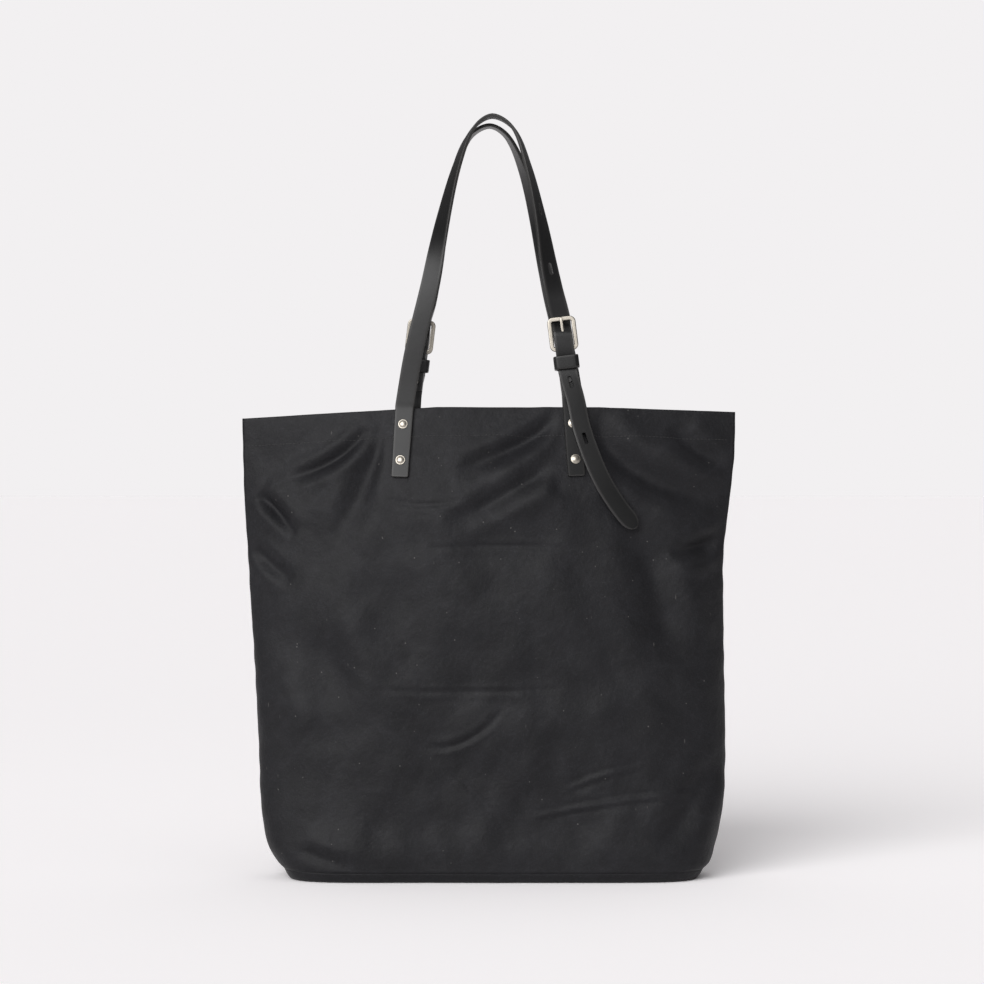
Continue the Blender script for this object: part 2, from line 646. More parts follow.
# %% Canvas material
def canvas(name, light, dark, specks=True):
    """Waxed canvas, from its two colours."""
    bench = material(name)
    place = bench.node("ShaderNodeTexCoord", {}, {}, 3)
    cloth = bench.node("ShaderNodeUVMap", {"uv_map": "cloth"})
    rub = bench.node("ShaderNodeAttribute", {"attribute_name": "rub"}, {}, 2)
    broad = bench.noise(place, 7.0, 4.0, 0.6)
    patch = bench.noise(place, 30.0, 6.0, 0.68)
    wrinkle = bench.noise(place, 22.0, 5.0, 0.62)
    small = bench.noise(place, 75.0, 5.0, 0.66)
    folds = 1 - (wrinkle * 2 - 1).size()
    cracks = (1 - (small * 2 - 1).size()).clamped(0.955, 1.0)
    across = bench.noise(cloth, 300.0, 2.0, 0.7, stretch=(1.0, 7.0, 1.0))
    along = bench.noise(cloth, 300.0, 2.0, 0.7, stretch=(7.0, 1.0, 1.0))
    threads = (across + along) * 0.5
    tone = broad.clamped(0.3, 0.7) * 0.40 + patch.clamped(0.3, 0.72) * 0.45
    tone = tone + threads.clamped(0.3, 0.7) * 0.15
    colour = bench.blend(tone, dark, light)
    marks = (rub * 0.6 + cracks * patch.clamped(0.42, 0.62) * 0.6).clamped(0.0, 1.0)
    colour = bench.blend(marks * 0.36, colour, tuple(3.2 * v for v in light))
    colour = bench.blend(threads.clamped(0.52, 0.70) * 0.50, colour, tuple(3.8 * v for v in light))
    if specks:
        spots = {"Vector": place, "Scale": 130.0, "Randomness": 1.0}
        dots = bench.node("ShaderNodeTexVoronoi", {}, spots)
        keep = bench.noise(place, 45.0, 2.0, 0.6).clamped(0.57, 0.60)
        lint = (1 - dots.clamped(0.05, 0.10)) * keep
        colour = bench.blend(lint * 0.55, colour, (0.13, 0.125, 0.12))
        stretched = {"Vector": place, "Rotation": (0.3, 0.7, 0.5), "Scale": (1, 1, 0.2)}
        streak_place = bench.node("ShaderNodeMapping", {}, stretched)
        hairs = bench.node("ShaderNodeTexVoronoi", {}, {"Vector": streak_place, "Scale": 150.0})
        some = bench.noise(place, 33.0, 1.0, 0.5).clamped(0.60, 0.63)
        colour = bench.blend((1 - hairs.clamped(0.04, 0.09)) * some * 0.45, colour, (0.11, 0.105, 0.10))
    skin = bench.bump(threads, 0.00035, 0.6)
    skin = bench.bump(small, 0.0014, 0.55, skin)
    skin = bench.bump(folds, 0.0018, 0.50, skin)
    rough = 0.44 + 0.16 * patch + 0.08 * broad - 0.06 * marks
    return bench.surface(Base_Color=colour, Roughness=rough, Normal=skin,
                         Specular_IOR_Level=0.19, Sheen_Weight=0.02, Sheen_Roughness=0.5)


CANVAS = canvas("waxed_canvas", (0.0080, 0.0080, 0.0094), (0.0040, 0.0039, 0.0047))
LINING = canvas("canvas_inside", (0.0150, 0.0150, 0.0165), (0.0110, 0.0108, 0.0120), specks=False)
print("canvas:", len(CANVAS.node_tree.nodes), "nodes")

# %% [markdown]
# ## Front and back
# The two walls are cut alike and hemmed alike, but each has its own folds. A wall and its hem
# are one sheet, because they are one cloth: the sheet bends over at the rim in three short
# steps and comes down again inside. The back wall is made as a front wall and turned half round.

# %% Front and back walls
def make_wall(side, drapes, creases, seed):
    """One wall with its hem turned in, as a closed sheet."""
    grid, rub = wall_surface(drapes, creases, seed, side == "back")
    outward = normals_of(grid)
    rows = [grid]
    for angle in (45, 90, 135):
        bend = math.radians(angle)
        lift = np.array((0, 0, 1)) * TURN_IN * math.sin(bend)
        rows.append((grid[-1] - outward[-1] * TURN_IN * (1 - math.cos(bend)) + lift)[None])
    step = BAG_HEIGHT * MM / UP
    count = round(HEM / step)
    hem = (grid - outward * 2 * TURN_IN)[-count - 1:][::-1]
    hem[..., 1] = np.minimum(hem[..., 1], -CLOTH * 0.6)
    rows.append(hem)
    sheet = np.concatenate(rows)
    columns = np.linspace(-CUT_WIDTH / 2, CUT_WIDTH / 2, ACROSS + 1)
    run = np.linalg.norm(np.diff(sheet[:, ACROSS // 2], axis=0), axis=1)
    lines = np.concatenate([[0], np.cumsum(run)])
    uv = np.stack(np.meshgrid(columns, lines), axis=2)
    marks = np.concatenate([rub, np.full((3, ACROSS + 1), 0.35), np.zeros((count + 1, ACROSS + 1))])
    mesh = grid_mesh(side + "_wall", sheet, uv, marks)
    thick = ("SOLIDIFY", {"thickness": CLOTH, "offset": 0.0, "use_rim": True})
    nodes = [side + "_panel", side + "_facing"]
    turned = side == "back"
    wall = finished(side + "_wall", mesh, CANVAS, "bag", nodes, [thick], turned)
    return wall, grid, outward


front_wall, front_grid, front_out = make_wall("front", FRONT_DRAPES, FRONT_CREASES, 11)
back_wall, back_grid, back_out = make_wall("back", BACK_DRAPES, BACK_CREASES, 23)
print("each wall:", len(front_wall.data.polygons), "faces")

# %% [markdown]
# ## The base
# The base is its own rounded rectangle of canvas. Its edge is pulled up to the seam by the
# walls, and its middle lies flat on the floor, so the bag shows a dark narrow band under the
# seam. Rings of points go from the seam to the middle.

# %% Base cloth
def make_base():
    """The base panel, from the seam's own line inwards."""
    front_edge = front_grid[0]
    back_edge = back_grid[0] * np.array((-1, -1, 1))
    ring = np.concatenate([front_edge, back_edge[1:-1]])
    zeros = np.zeros(len(ring))
    centre_line = np.stack([np.clip(ring[:, 0], -0.14, 0.14), zeros, zeros], axis=1)
    shares = (0.0, 0.012, 0.03, 0.055, 0.09, 0.14, 0.22, 0.36, 0.52, 0.68, 0.84, 0.97)
    low = CLOTH / 2 + 0.0002
    rings = []
    for share in shares:
        level = ring + (centre_line - ring) * share
        fall = 1 - min(share / 0.11, 1)
        level[:, 2] = low + (ring[:, 2] - low) * fall**1.4
        ripple = swell(level[:, 0], level[:, 1], 41, short=0.02, long=0.07)
        level[:, 2] += 0.0004 * np.abs(ripple) * min(share * 3, 1)
        rings.append(level)
    count = len(ring)
    mesh = bpy.data.meshes.new("base_cloth")
    points = np.concatenate(rings)
    faces = []
    for k in range(len(shares) - 1):
        for n in range(count):
            m = (n + 1) % count
            faces.append((k * count + n, (k + 1) * count + n, (k + 1) * count + m, k * count + m))
    start = (len(shares) - 1) * count
    faces.append(tuple(start + n for n in range(count)))
    mesh.from_pydata(points.tolist(), [], faces)
    made = bmesh.new()
    made.from_mesh(mesh)
    bmesh.ops.remove_doubles(made, verts=made.verts, dist=0.00001)
    bmesh.ops.triangulate(made, faces=[face for face in made.faces if len(face.verts) > 4])
    bmesh.ops.recalc_face_normals(made, faces=made.faces)
    made.to_mesh(mesh)
    made.free()
    down = sum(face.normal.z * face.area for face in mesh.polygons)
    if down > 0:
        mesh.flip_normals()
    layer = mesh.uv_layers.new(name="cloth")
    for loop in mesh.loops:
        point = mesh.vertices[loop.vertex_index].co
        layer.data[loop.index].uv = (point.x, point.y)
    mesh.attributes.new("rub", "FLOAT", "POINT")
    mesh.shade_smooth()
    thick = ("SOLIDIFY", {"thickness": CLOTH, "offset": 0.0})
    return finished("base_cloth", mesh, CANVAS, "bag", ["base_panel"], [thick])


base_cloth = make_base()

# %% [markdown]
# ## Leather
# Bridle leather is cut in strips, its edges are bevelled with an edge tool and burnished, and
# it takes a dull wax shine. Every strip here is a sweep of one cross-section: flat faces with a
# slight crown, rounded edges, and square or pointed ends that are rounded over in the same way.
# The edge attribute marks the bevels, which are polished more than the faces.

# %% Leather, metal, thread and tape
def leather_material():
    """Black bridle leather."""
    bench = material("bridle_leather")
    place = bench.node("ShaderNodeTexCoord", {}, {}, 3)
    edge = bench.node("ShaderNodeAttribute", {"attribute_name": "edge"}, {}, 2)
    cloud = bench.noise(place, 24.0, 4.0, 0.6)
    pores = bench.node("ShaderNodeTexVoronoi", {}, {"Vector": place, "Scale": 1500.0})
    colour = bench.blend(cloud, (0.0050, 0.0052, 0.0053), (0.0085, 0.0085, 0.0088))
    colour = bench.blend(edge * 0.6, colour, (0.036, 0.035, 0.034))
    skin = bench.bump(pores.clamped(0.1, 0.6), 0.00006, 0.25)
    skin = bench.bump(bench.noise(place, 160.0, 4.0, 0.6), 0.0003, 0.22, skin)
    rough = 0.27 + 0.16 * cloud - 0.08 * edge
    return bench.surface(Base_Color=colour, Roughness=rough, Normal=skin,
                         Specular_IOR_Level=0.24, Coat_Weight=0.04, Coat_Roughness=0.22)


def nickel_material():
    """Satin nickel, warm and slightly uneven."""
    bench = material("satin_nickel")
    place = bench.node("ShaderNodeTexCoord", {}, {}, 3)
    cloud = bench.noise(place, 300.0, 3.0, 0.6)
    colour = bench.blend(cloud, (0.27, 0.25, 0.215), (0.42, 0.39, 0.34))
    skin = bench.bump(bench.noise(place, 900.0, 2.0, 0.5), 0.00004, 0.2)
    return bench.surface(Base_Color=colour, Metallic=1.0, Roughness=0.26 + 0.12 * cloud, Normal=skin)


def plain_material(name, colour, rough, pitch):
    """Thread or woven tape, with a fine twill of the pitch given."""
    bench = material(name)
    place = bench.node("ShaderNodeTexCoord", {}, {}, 3)
    turned = bench.node("ShaderNodeMapping", {}, {"Vector": place, "Rotation": (0.4, 0.6, 0.785)})
    wave = {"Vector": turned, "Scale": 0.5 / pitch, "Distortion": 0.4}
    twill = bench.node("ShaderNodeTexWave", {}, wave, 1)
    shade = bench.blend(twill * 0.5, colour, tuple(0.6 * v for v in colour))
    return bench.surface(Base_Color=shade, Roughness=rough, Normal=bench.bump(twill, 0.0001, 0.5))


def enamel_material():
    """The black finish of the small rivet's outer cap, which lies under the tail."""
    bench = material("black_enamel")
    cloud = bench.noise(bench.node("ShaderNodeTexCoord", {}, {}, 3), 400.0)
    return bench.surface(Base_Color=(0.006, 0.006, 0.006, 1), Roughness=0.35 + 0.1 * cloud)


LEATHER = leather_material()
ENAMEL = enamel_material()
NICKEL = nickel_material()
THREAD = plain_material("bonded_thread", (0.020, 0.020, 0.021), 0.55, 0.0007)
TAPE = plain_material("binding_tape", (0.018, 0.018, 0.019), 0.75, 0.0012)
print("materials:", ", ".join(m.name for m in (LEATHER, ENAMEL, NICKEL, THREAD, TAPE)))

# %% [markdown]
# ## The way of the long strap
# One strap makes each handle. Its riveted end lies on the wall, it rises, turns edge-on over
# the top, comes down behind the buckle's top bar, passes over the heel bar and the keeper, and
# its tail hangs in front of the rivets. The width of the strap turns with it: the turn is the
# angle of its width in plan. Rows hold the distance along, the place and the turn.

# %% Ways of the leather
STRAP_WIDTH = 16.0
STRAP = 3.0
CHAPE = 2.5
STRAP_END = 370.5
CHAPE_END = 371.5
RIVETS_UP = (15, 48)
GAP = 0.25
SWING_HEIGHT = 437.0
HEEL = Vector((67.8, -21.5, 488.8))
LEAN = math.radians(7)
BUCKLE_ACROSS = Vector((math.cos(LEAN), 0, math.sin(LEAN)))
BUCKLE_OUT = Vector((-0.05 * math.sin(LEAN), -1, 0.05 * math.cos(LEAN))).normalized()
BUCKLE_UP = BUCKLE_OUT.cross(BUCKLE_ACROSS)
BAR = 3.3
BAR_PITCH = 31.0 - BAR
WRAP = BAR / 2 + 0.3 + CHAPE / 2
LAYER = CHAPE / 2 + 0.05
TAIL_ON_CHAPE = 2 * LAYER + 0.3 + STRAP / 2
DIVE_END = BAR_PITCH - 2.6
DIVE = 12.0
ENGAGED_UP = 20.3
APEX = {"front": 704.5, "back": 698.0}


def strap_x(height):
    """Middle of the strap's riveted end."""
    return -79.4 - (BAG_HEIGHT - height) * math.tan(math.radians(3.5))


def chape_x(height):
    """Middle of the chape's riveted end."""
    return 73.8 + (BAG_HEIGHT - height) * math.tan(math.radians(4.0))


def at_buckle(up, out, across=0.0):
    """A point near the buckle: up the strap from the heel bar, out from the bag."""
    return HEEL + BUCKLE_UP * up + BUCKLE_OUT * out + BUCKLE_ACROSS * across


def with_length(points):
    """The same points, each led by its distance along the strip."""
    rows = [(0.0, *points[0])]
    for last, point in zip(points, points[1:]):
        rows.append((rows[-1][0] + math.dist(last[:3], point[:3]), *point))
    return rows


def strap_rows(apex):
    """The long strap, from its riveted end to its tip."""
    points = []
    step = (BAG_HEIGHT - STRAP_END) / 4
    for height in [STRAP_END + step * k for k in range(5)] + [SWING_HEIGHT]:
        x = strap_x(height)
        wall = min(height, BAG_HEIGHT)
        turn = math.degrees(math.atan(wall_slopes(x, wall)[0]))
        points.append((x, -(outside(x, wall) + STRAP / 2 + GAP), height, turn, 0.0))
    loop = [(-71.0, 23.4, 0.18, 2), (-57.5, 20.0, 0.395, 8), (-42.2, 15.5, 0.672, 50),
            (-29.5, 12.0, 0.848, 70), (-15.0, 10.0, 0.963, 83), (1.8, 9.5, 1.0, 90),
            (21.0, 10.0, 0.956, 97), (34.0, 11.5, 0.83, 107), (45.0, 14.0, 0.658, 123),
            (53.3, 17.5, 0.485, 152), (59.5, 19.8, 0.375, 172)]
    for x, out, share, turn in loop:
        points.append((x, -out, SWING_HEIGHT + share * (apex - SWING_HEIGHT), turn, 0.0))
    over = BAR / 2 + 0.3 + CHAPE + 0.25 + STRAP / 2
    under = -(BAR / 2 + 0.25 + STRAP / 2)
    middle, swing = (over + under) / 2, (over - under) / 2
    local = [(BAR_PITCH + 3, under)]
    for k in range(9):
        local.append((DIVE_END - DIVE * k / 8, middle - swing * math.cos(math.pi * k / 8)))
    on_rivet = LAYER + CHAPE / 2 + 1.7 + STRAP / 2
    local += [(0.5, over), (-4.5, over - 0.6), (-9.0, TAIL_ON_CHAPE + 0.25),
              (-17.5, TAIL_ON_CHAPE), (-22.3, on_rivet - 0.4), (-27.0, on_rivet)]
    for up, out in local:
        points.append((*at_buckle(up, out, 0.14 * max(-up - 22.3, 0)), 180, 0.0))
    lifts = [(77.8, 6.4, 441.0), (82.3, 6.7, 419.0), (90.3, 5.6, 394.0), (102.0, 4.6, 367.0),
             (117.0, 4.8, 343.0), (132.5, 6.0, 324.0)]
    for x, lift, height in lifts:
        wall = min(height, BAG_HEIGHT)
        turn = 180 + math.degrees(math.atan(wall_slopes(x, wall)[0]))
        points.append((x, -(outside(x, wall) + lift), height, turn, 0.0))
    return with_length(points)


def chape_rows():
    """The chape, from its riveted end up, round the heel bar and down inside."""
    points = []
    for k in range(6):
        height = CHAPE_END + (SWING_HEIGHT - 2 - CHAPE_END) * k / 5
        x = chape_x(height)
        wall = min(height, BAG_HEIGHT)
        turn = math.degrees(math.atan(wall_slopes(x, wall)[0]))
        points.append((x, -(outside(x, wall) + GAP + CHAPE / 2), height, turn, 0.0))
    tilt = math.tan(LEAN)
    local = [(-43.5, LAYER + 0.35), (-37.0, LAYER), (-27.0, LAYER), (-13.0, LAYER),
             (-9.0, LAYER + 0.12), (-4.5, (LAYER + WRAP) / 2 + 0.1)]
    local += [(WRAP * math.sin(math.pi * k / 8), WRAP * math.cos(math.pi * k / 8)) for k in range(9)]
    local += [(-4.5, -(LAYER + WRAP) / 2 - 0.1), (-9.0, -LAYER - 0.12),
              (-13.0, -LAYER), (-37.0, -LAYER)]
    for up, out in local:
        points.append((*at_buckle(up, out), 0.0, tilt))
    return with_length(points)


def frame_on(rows, at):
    """Centre, width direction and face direction of a strip at one distance, in millimetres."""
    x, y, z, turn, tilt = smooth(rows, at)
    before = Vector(smooth(rows, max(at - 0.3, 0))[:3])
    after = Vector(smooth(rows, min(at + 0.3, rows[-1][0]))[:3])
    ahead = (after - before).normalized()
    angle = math.radians(turn)
    width = Vector((math.cos(angle), -math.sin(angle), tilt))
    width = (width - ahead * width.dot(ahead)).normalized()
    return Vector((x, y, z)), width, width.cross(ahead)


def distance_of(rows, height, after):
    """Distance along a strip at which it crosses a height, searching from a distance on."""
    at = after
    above = smooth(rows, at)[2] > height
    while (smooth(rows, at)[2] > height) == above:
        at += 0.25
    return at


print("strap:", round(strap_rows(APEX["front"])[-1][0]), "mm long")
print("chape:", round(chape_rows()[-1][0]), "mm long")

# %% [markdown]
# ## Cutting a strip
# A strip is a tube of cross-sections. Close to each end the sections get smaller along a
# quarter circle, in width and in thickness, which rounds the corners as a knife and an edge
# tool would.

# %% Strips of leather
EDGE = 0.65
CROWN = 0.07
AROUND_SLOT = 28


def rounded_off(distance, radius, half):
    """Half size of a strip at a distance from its end, where the corners have that radius."""
    left = radius - min(distance, radius)
    return half - radius + math.sqrt(max(radius * radius - left * left, 0))


def cross_section(half, thick):
    """Points round a section: across, out of the face, and 1 on the bevels."""
    edge = min(EDGE, half * 0.8, thick * 0.9)
    ring = []
    for u in np.linspace(-(half - edge), half - edge, 9):
        crown = CROWN * (1 - (u / half) ** 2)
        ring.append((u, thick + crown, float(abs(u) > half - edge * 1.3)))
    for angle in (30, 60, 90):
        turn = math.radians(angle)
        ring.append((half - edge + edge * math.sin(turn), thick - edge + edge * math.cos(turn), 1.0))
    return ring + [(-u, -v, mark) for u, v, mark in ring]


def tube(name, rings, uvs, marks, closed=False):
    """A closed mesh from rings of points. The last ring joins the first one where closed."""
    around = len(rings[0])
    faces = []
    for k in range(len(rings) if closed else len(rings) - 1):
        first, second = k * around, (k + 1) % len(rings) * around
        for n in range(around):
            m = (n + 1) % around
            faces.append((first + n, first + m, second + m, second + n))
    if not closed:
        last = (len(rings) - 1) * around
        faces += [tuple(range(around)), tuple(last + n for n in reversed(range(around)))]
    mesh = bpy.data.meshes.new(name)
    mesh.from_pydata([point for ring in rings for point in ring], [], faces)
    layer = mesh.uv_layers.new(name="cloth")
    for loop in mesh.loops:
        layer.data[loop.index].uv = uvs[loop.vertex_index]
    for label in ("edge", "rub"):
        values = mesh.attributes.new(label, "FLOAT", "POINT")
        values.data.foreach_set("value", np.array(marks, np.float32))
    turn_outwards(mesh)
    mesh.shade_smooth()
    return mesh


def strip(name, rows, start, end, thick, pitch=2.0, corner_start=0.0, corner_end=0.0, tip=0.0,
          width=STRAP_WIDTH, widen=0.0):
    """A closed strip of leather between two distances along its way, in metres."""
    fine = [0.0, 0.05, 0.15, 0.3, 0.5, 0.8, 1.2, 1.7, 2.4, 3.2]
    if tip:
        fine += [4.4, 5.8, 7.5, 9.5, 12.0]
    count = max(int((end - start - 2 * fine[-1]) / pitch), 2)
    inner = np.linspace(start + fine[-1], end - fine[-1], count)
    places = [start + f for f in fine] + list(inner[1:-1]) + [end - f for f in reversed(fine)]
    rings, marks, uvs = [], [], []
    for at in places:
        centre, across, face = frame_on(rows, at)
        full = width / 2 + widen * min(max((at - 15) / 50, 0), 1)
        half = full
        if corner_start:
            half = min(half, rounded_off(at - start, corner_start, full))
        if corner_end:
            half = min(half, rounded_off(end - at, corner_end, full))
        if tip:
            past = max(at - (end - tip), 0) / tip
            half = max(full * math.sqrt(max(1 - past**2.2, 0)), 0.9)
        ends = min(at - start if corner_start else 9, end - at if corner_end or tip else 9)
        flat = rounded_off(ends, EDGE, thick / 2)
        ring = []
        for u, v, mark in cross_section(half, flat):
            ring.append((centre + across * u + face * v) * MM)
            marks.append(max(mark, 1.0 if ends < EDGE * 1.5 else 0.0))
            uvs.append((u * MM, at * MM))
        rings.append(ring)
    return tube(name, rings, uvs, marks)


def turn_outwards(mesh):
    """Makes every face of a closed mesh look outwards."""
    made = bmesh.new()
    made.from_mesh(mesh)
    bmesh.ops.recalc_face_normals(made, faces=made.faces)
    if made.calc_volume(signed=True) < 0:
        bmesh.ops.reverse_faces(made, faces=made.faces)
    made.to_mesh(mesh)
    made.free()


def slot_cutter(rows, at, length=11.0, width=3.2):
    """The tool of one slot: a long hole, wider at both faces, where its edge is burnished."""
    centre, across, face = frame_on(rows, at)
    ahead = face.cross(across)
    rings = []
    levels = ((-2.6, 1.2), (-1.5, 0.32), (-1.15, 0.0), (1.15, 0.0), (1.5, 0.32), (2.6, 1.2))
    for depth, grow in levels:
        ring = []
        for k in range(AROUND_SLOT):
            angle = 2 * math.pi * k / AROUND_SLOT
            radius = width / 2 + grow
            run = (length - width) / 2 * (1 if math.cos(angle) > 0 else -1)
            along = ahead * (run + radius * math.cos(angle))
            ring.append((centre + along + across * radius * math.sin(angle) + face * depth) * MM)
        rings.append(ring)
    points = [point for ring in rings for point in ring]
    faces = []
    for k in range(len(rings) - 1):
        first, second = k * AROUND_SLOT, (k + 1) * AROUND_SLOT
        for n in range(AROUND_SLOT):
            m = (n + 1) % AROUND_SLOT
            faces.append((first + n, first + m, second + m, second + n))
    last = len(points) - 1
    faces += [tuple(range(AROUND_SLOT)), tuple(range(last, last - AROUND_SLOT, -1))]
    mesh = bpy.data.meshes.new("slot_tool")
    mesh.from_pydata(points, [], faces)
    attribute = mesh.attributes.new("edge", "FLOAT", "POINT")
    attribute.data.foreach_set("value", np.ones(len(points), np.float32))
    turn_outwards(mesh)
    return mesh


def cut(mesh, tools):
    """The mesh with tools cut out of it. The tools are removed."""
    holder = bpy.data.objects.new("stock", mesh)
    bpy.context.collection.objects.link(holder)
    cutters = []
    for tool in tools:
        cutter = bpy.data.objects.new("tool", tool)
        bpy.context.collection.objects.link(cutter)
        cutters.append(cutter)
        modifier = holder.modifiers.new("cut", "BOOLEAN")
        modifier.operation = "DIFFERENCE"
        modifier.solver = "EXACT"
        modifier.object = cutter
    graph = bpy.context.evaluated_depsgraph_get()
    plain = bpy.data.meshes.new_from_object(holder.evaluated_get(graph))
    for spare in [holder] + cutters:
        bpy.data.objects.remove(spare)
    plain.shade_smooth()
    plain.set_sharp_from_angle(angle=math.radians(38))
    return plain


print("edges are bevelled by", EDGE, "mm")

# %% [markdown]
# ## Straps and chapes
# Each handle is three strips: the strap from its rivets to the keeper, its tail from the keeper
# to the tip, and the chape. Strap and tail meet inside the keeper, where nobody sees it, because
# they hang from different bodies. The slots are punched 52 to 60 mm apart. The fold of the
# chape is cut open in the middle, where the ring of the prong goes round the heel bar.

# %% Straps and chapes
SLOTS_UP = (0.0, 59.5, 116.0)
SLOTS_DOWN = (52.0, 106.0)
PRONG_ROOM = (4.4, 18.0, 16.0)


def prong_room():
    """The tool that opens the chape's fold for the ring of the prong."""
    room = bpy.data.meshes.new("prong_room")
    made = bmesh.new()
    bmesh.ops.create_cube(made, size=1.0)
    bmesh.ops.scale(made, vec=[side * MM for side in PRONG_ROOM], verts=made.verts)
    turn = Matrix((BUCKLE_ACROSS, BUCKLE_UP, BUCKLE_OUT)).transposed().to_4x4()
    bmesh.ops.transform(made, matrix=Matrix.Translation(HEEL * MM) @ turn, verts=made.verts)
    made.to_mesh(room)
    made.free()
    attribute = room.attributes.new("edge", "FLOAT", "POINT")
    attribute.data.foreach_set("value", np.ones(8, np.float32))
    return room


def make_leather(side):
    """The strips of one handle."""
    back = side == "back"
    rows = strap_rows(APEX[side])
    heel = distance_of(rows, HEEL.z, distance_of(rows, SWING_HEIGHT + 100, 400))
    engaged = heel - ENGAGED_UP
    meet = heel + 10.0
    tip = rows[-1][0]
    strap = strip(side + "_strap", rows, 0, meet, STRAP, 3.0, corner_start=1.6, widen=0.7)
    strap = cut(strap, [slot_cutter(rows, engaged - up) for up in SLOTS_UP])
    tail = strip(side + "_tail_strap", rows, meet, tip, STRAP, 3.0, tip=14.0, widen=0.7)
    tail = cut(tail, [slot_cutter(rows, engaged + down) for down in SLOTS_DOWN])
    way = chape_rows()
    corners = {"corner_start": 1.6, "corner_end": 1.6}
    chape = strip(side + "_chape", way, 0, way[-1][0], CHAPE, 1.2, **corners)
    chape = cut(chape, [prong_room()])
    nodes = [side + "_strap_anchor", side + "_strap_loop"]
    piece = finished(side + "_strap", strap, LEATHER, None, nodes, turned=back)
    blend_up(piece)
    nodes = [side + "_chape_anchor", side + "_chape_upper"]
    piece = finished(side + "_chape", chape, LEATHER, None, nodes, turned=back)
    blend_up(piece)
    nodes = [side + "_strap_tail"]
    piece = finished(side + "_tail_strap", tail, LEATHER, None, nodes, turned=back)
    start, end = (turned_back(at_buckle(up, TAIL_ON_CHAPE) * MM, back) for up in (-19.5, -28.0))
    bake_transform(piece)
    return rows, heel


def turned_back(point, back):
    """The same point on the back of the bag."""
    return (-point.x, -point.y, point.z) if back else tuple(point)


def blend_up(piece):
    """The leather bends at the rim, level with the handle's hinge."""
    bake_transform(piece)


ways = {side: make_leather(side) for side in SIDES}
print("heel bar is", round(ways["front"][1]), "mm along the front strap")

# %% [markdown]
# ## Rivets and hem stitches
# What repeats is set out by one Geometry Nodes group. It takes points with a direction each,
# puts one piece on every point along that direction, makes them real and gives them their
# finish. A tubular rivet has a pressed cap with a low dome and a turned rim; its lower face
# stands on the leather. The hem is sewn 26 mm below the rim, and the thread shows on both
# faces of the cloth.

# %% Set out by Geometry Nodes
def repeat_group():
    """The group: points with an aim attribute, a piece, its finish, a spread of size and a seed."""
    group = bpy.data.node_groups.new("repeat", "GeometryNodeTree")
    given = {"Points": "Geometry", "Piece": "Object", "Finish": "Material", "Spread": "Float",
             "Seed": "Int"}
    for label, kind in given.items():
        group.interface.new_socket(label, in_out="INPUT", socket_type="NodeSocket" + kind)
    group.interface.new_socket("Result", in_out="OUTPUT", socket_type="NodeSocketGeometry")
    bench = Bench(group, group)
    inputs = [bench.node("NodeGroupInput", output=label) for label in given]
    points, piece, finish, spread, seed = inputs
    aim = bench.node("GeometryNodeInputNamedAttribute", {"data_type": "FLOAT_VECTOR"}, {"Name": "aim"})
    align = bench.node("FunctionNodeAlignRotationToVector", {"axis": "Z"}, {"Vector": aim})
    shape = bench.node("GeometryNodeObjectInfo", {}, {"Object": piece}, "Geometry")
    sizes = {2: 1 - spread, 3: 1 + spread, "Seed": seed}
    chance = bench.node("FunctionNodeRandomValue", {"data_type": "FLOAT"}, sizes, 1)
    slots = {"Points": points, "Instance": shape, "Rotation": align, "Scale": chance}
    placed = bench.node("GeometryNodeInstanceOnPoints", {}, slots)
    real = bench.node("GeometryNodeRealizeInstances", {}, {0: placed})
    coated = bench.node("GeometryNodeSetMaterial", {}, {"Geometry": real, "Material": finish})
    bench.node("NodeGroupOutput", {}, {0: coated})
    return group


REPEAT = repeat_group()


def repeated(name, points, aims, piece, surface, spread, seed, replaced=(), turned=False):
    """One plain mesh with the piece on every point, made by the group."""
    mesh = bpy.data.meshes.new(name)
    mesh.from_pydata([tuple(point) for point in points], [], [])
    aim = mesh.attributes.new("aim", "FLOAT_VECTOR", "POINT")
    aim.data.foreach_set("vector", np.array(aims, np.float32).ravel())
    holder = bpy.data.objects.new(name, mesh)
    bpy.context.collection.objects.link(holder)
    modifier = holder.modifiers.new("repeat", "NODES")
    modifier.node_group = REPEAT
    values = {"Piece": piece, "Finish": surface, "Spread": spread, "Seed": seed}
    for item in REPEAT.interface.items_tree:
        if item.item_type == "SOCKET" and item.name in values:
            modifier[item.identifier] = values[item.name]
    graph = bpy.context.evaluated_depsgraph_get()
    plain = bpy.data.meshes.new_from_object(holder.evaluated_get(graph))
    bpy.data.objects.remove(holder)
    return finished(name, plain, surface, "bag", replaced, turned=turned)


def lathe(name, profile, around=36):
    """A turned piece from a profile of radius and height, in millimetres, kept out of sight."""
    rings = []
    for radius, height in profile:
        ring = []
        for k in range(around):
            angle = 2 * math.pi * k / around
            ring.append(Vector((radius * math.cos(angle), radius * math.sin(angle), height)) * MM)
        rings.append(ring)
    count = around * len(rings)
    mesh = tube(name, rings, [(0, 0)] * count, [0.0] * count)
    return bpy.data.objects.new(name, mesh)


CAP_PROFILE = [(4.0, 0.0), (4.35, 0.08), (4.5, 0.35), (4.42, 0.62), (4.15, 0.78), (3.85, 0.74),
               (3.55, 0.80), (3.2, 1.02), (2.6, 1.32), (1.8, 1.58), (0.9, 1.74), (0.15, 1.79)]
STITCH_PROFILE = [(0.04, -1.25), (0.17, -1.2), (0.22, -0.9), (0.25, 0.0), (0.22, 0.9), (0.17, 1.2),
                  (0.04, 1.25)]
STITCH_PITCH = 0.0034
HEM_ROW = UP - 10
OFF_CLOTH = CLOTH / 2 + 0.00008
CAP = lathe("rivet_cap", CAP_PROFILE)
STITCH = lathe("stitch", STITCH_PROFILE, 8)


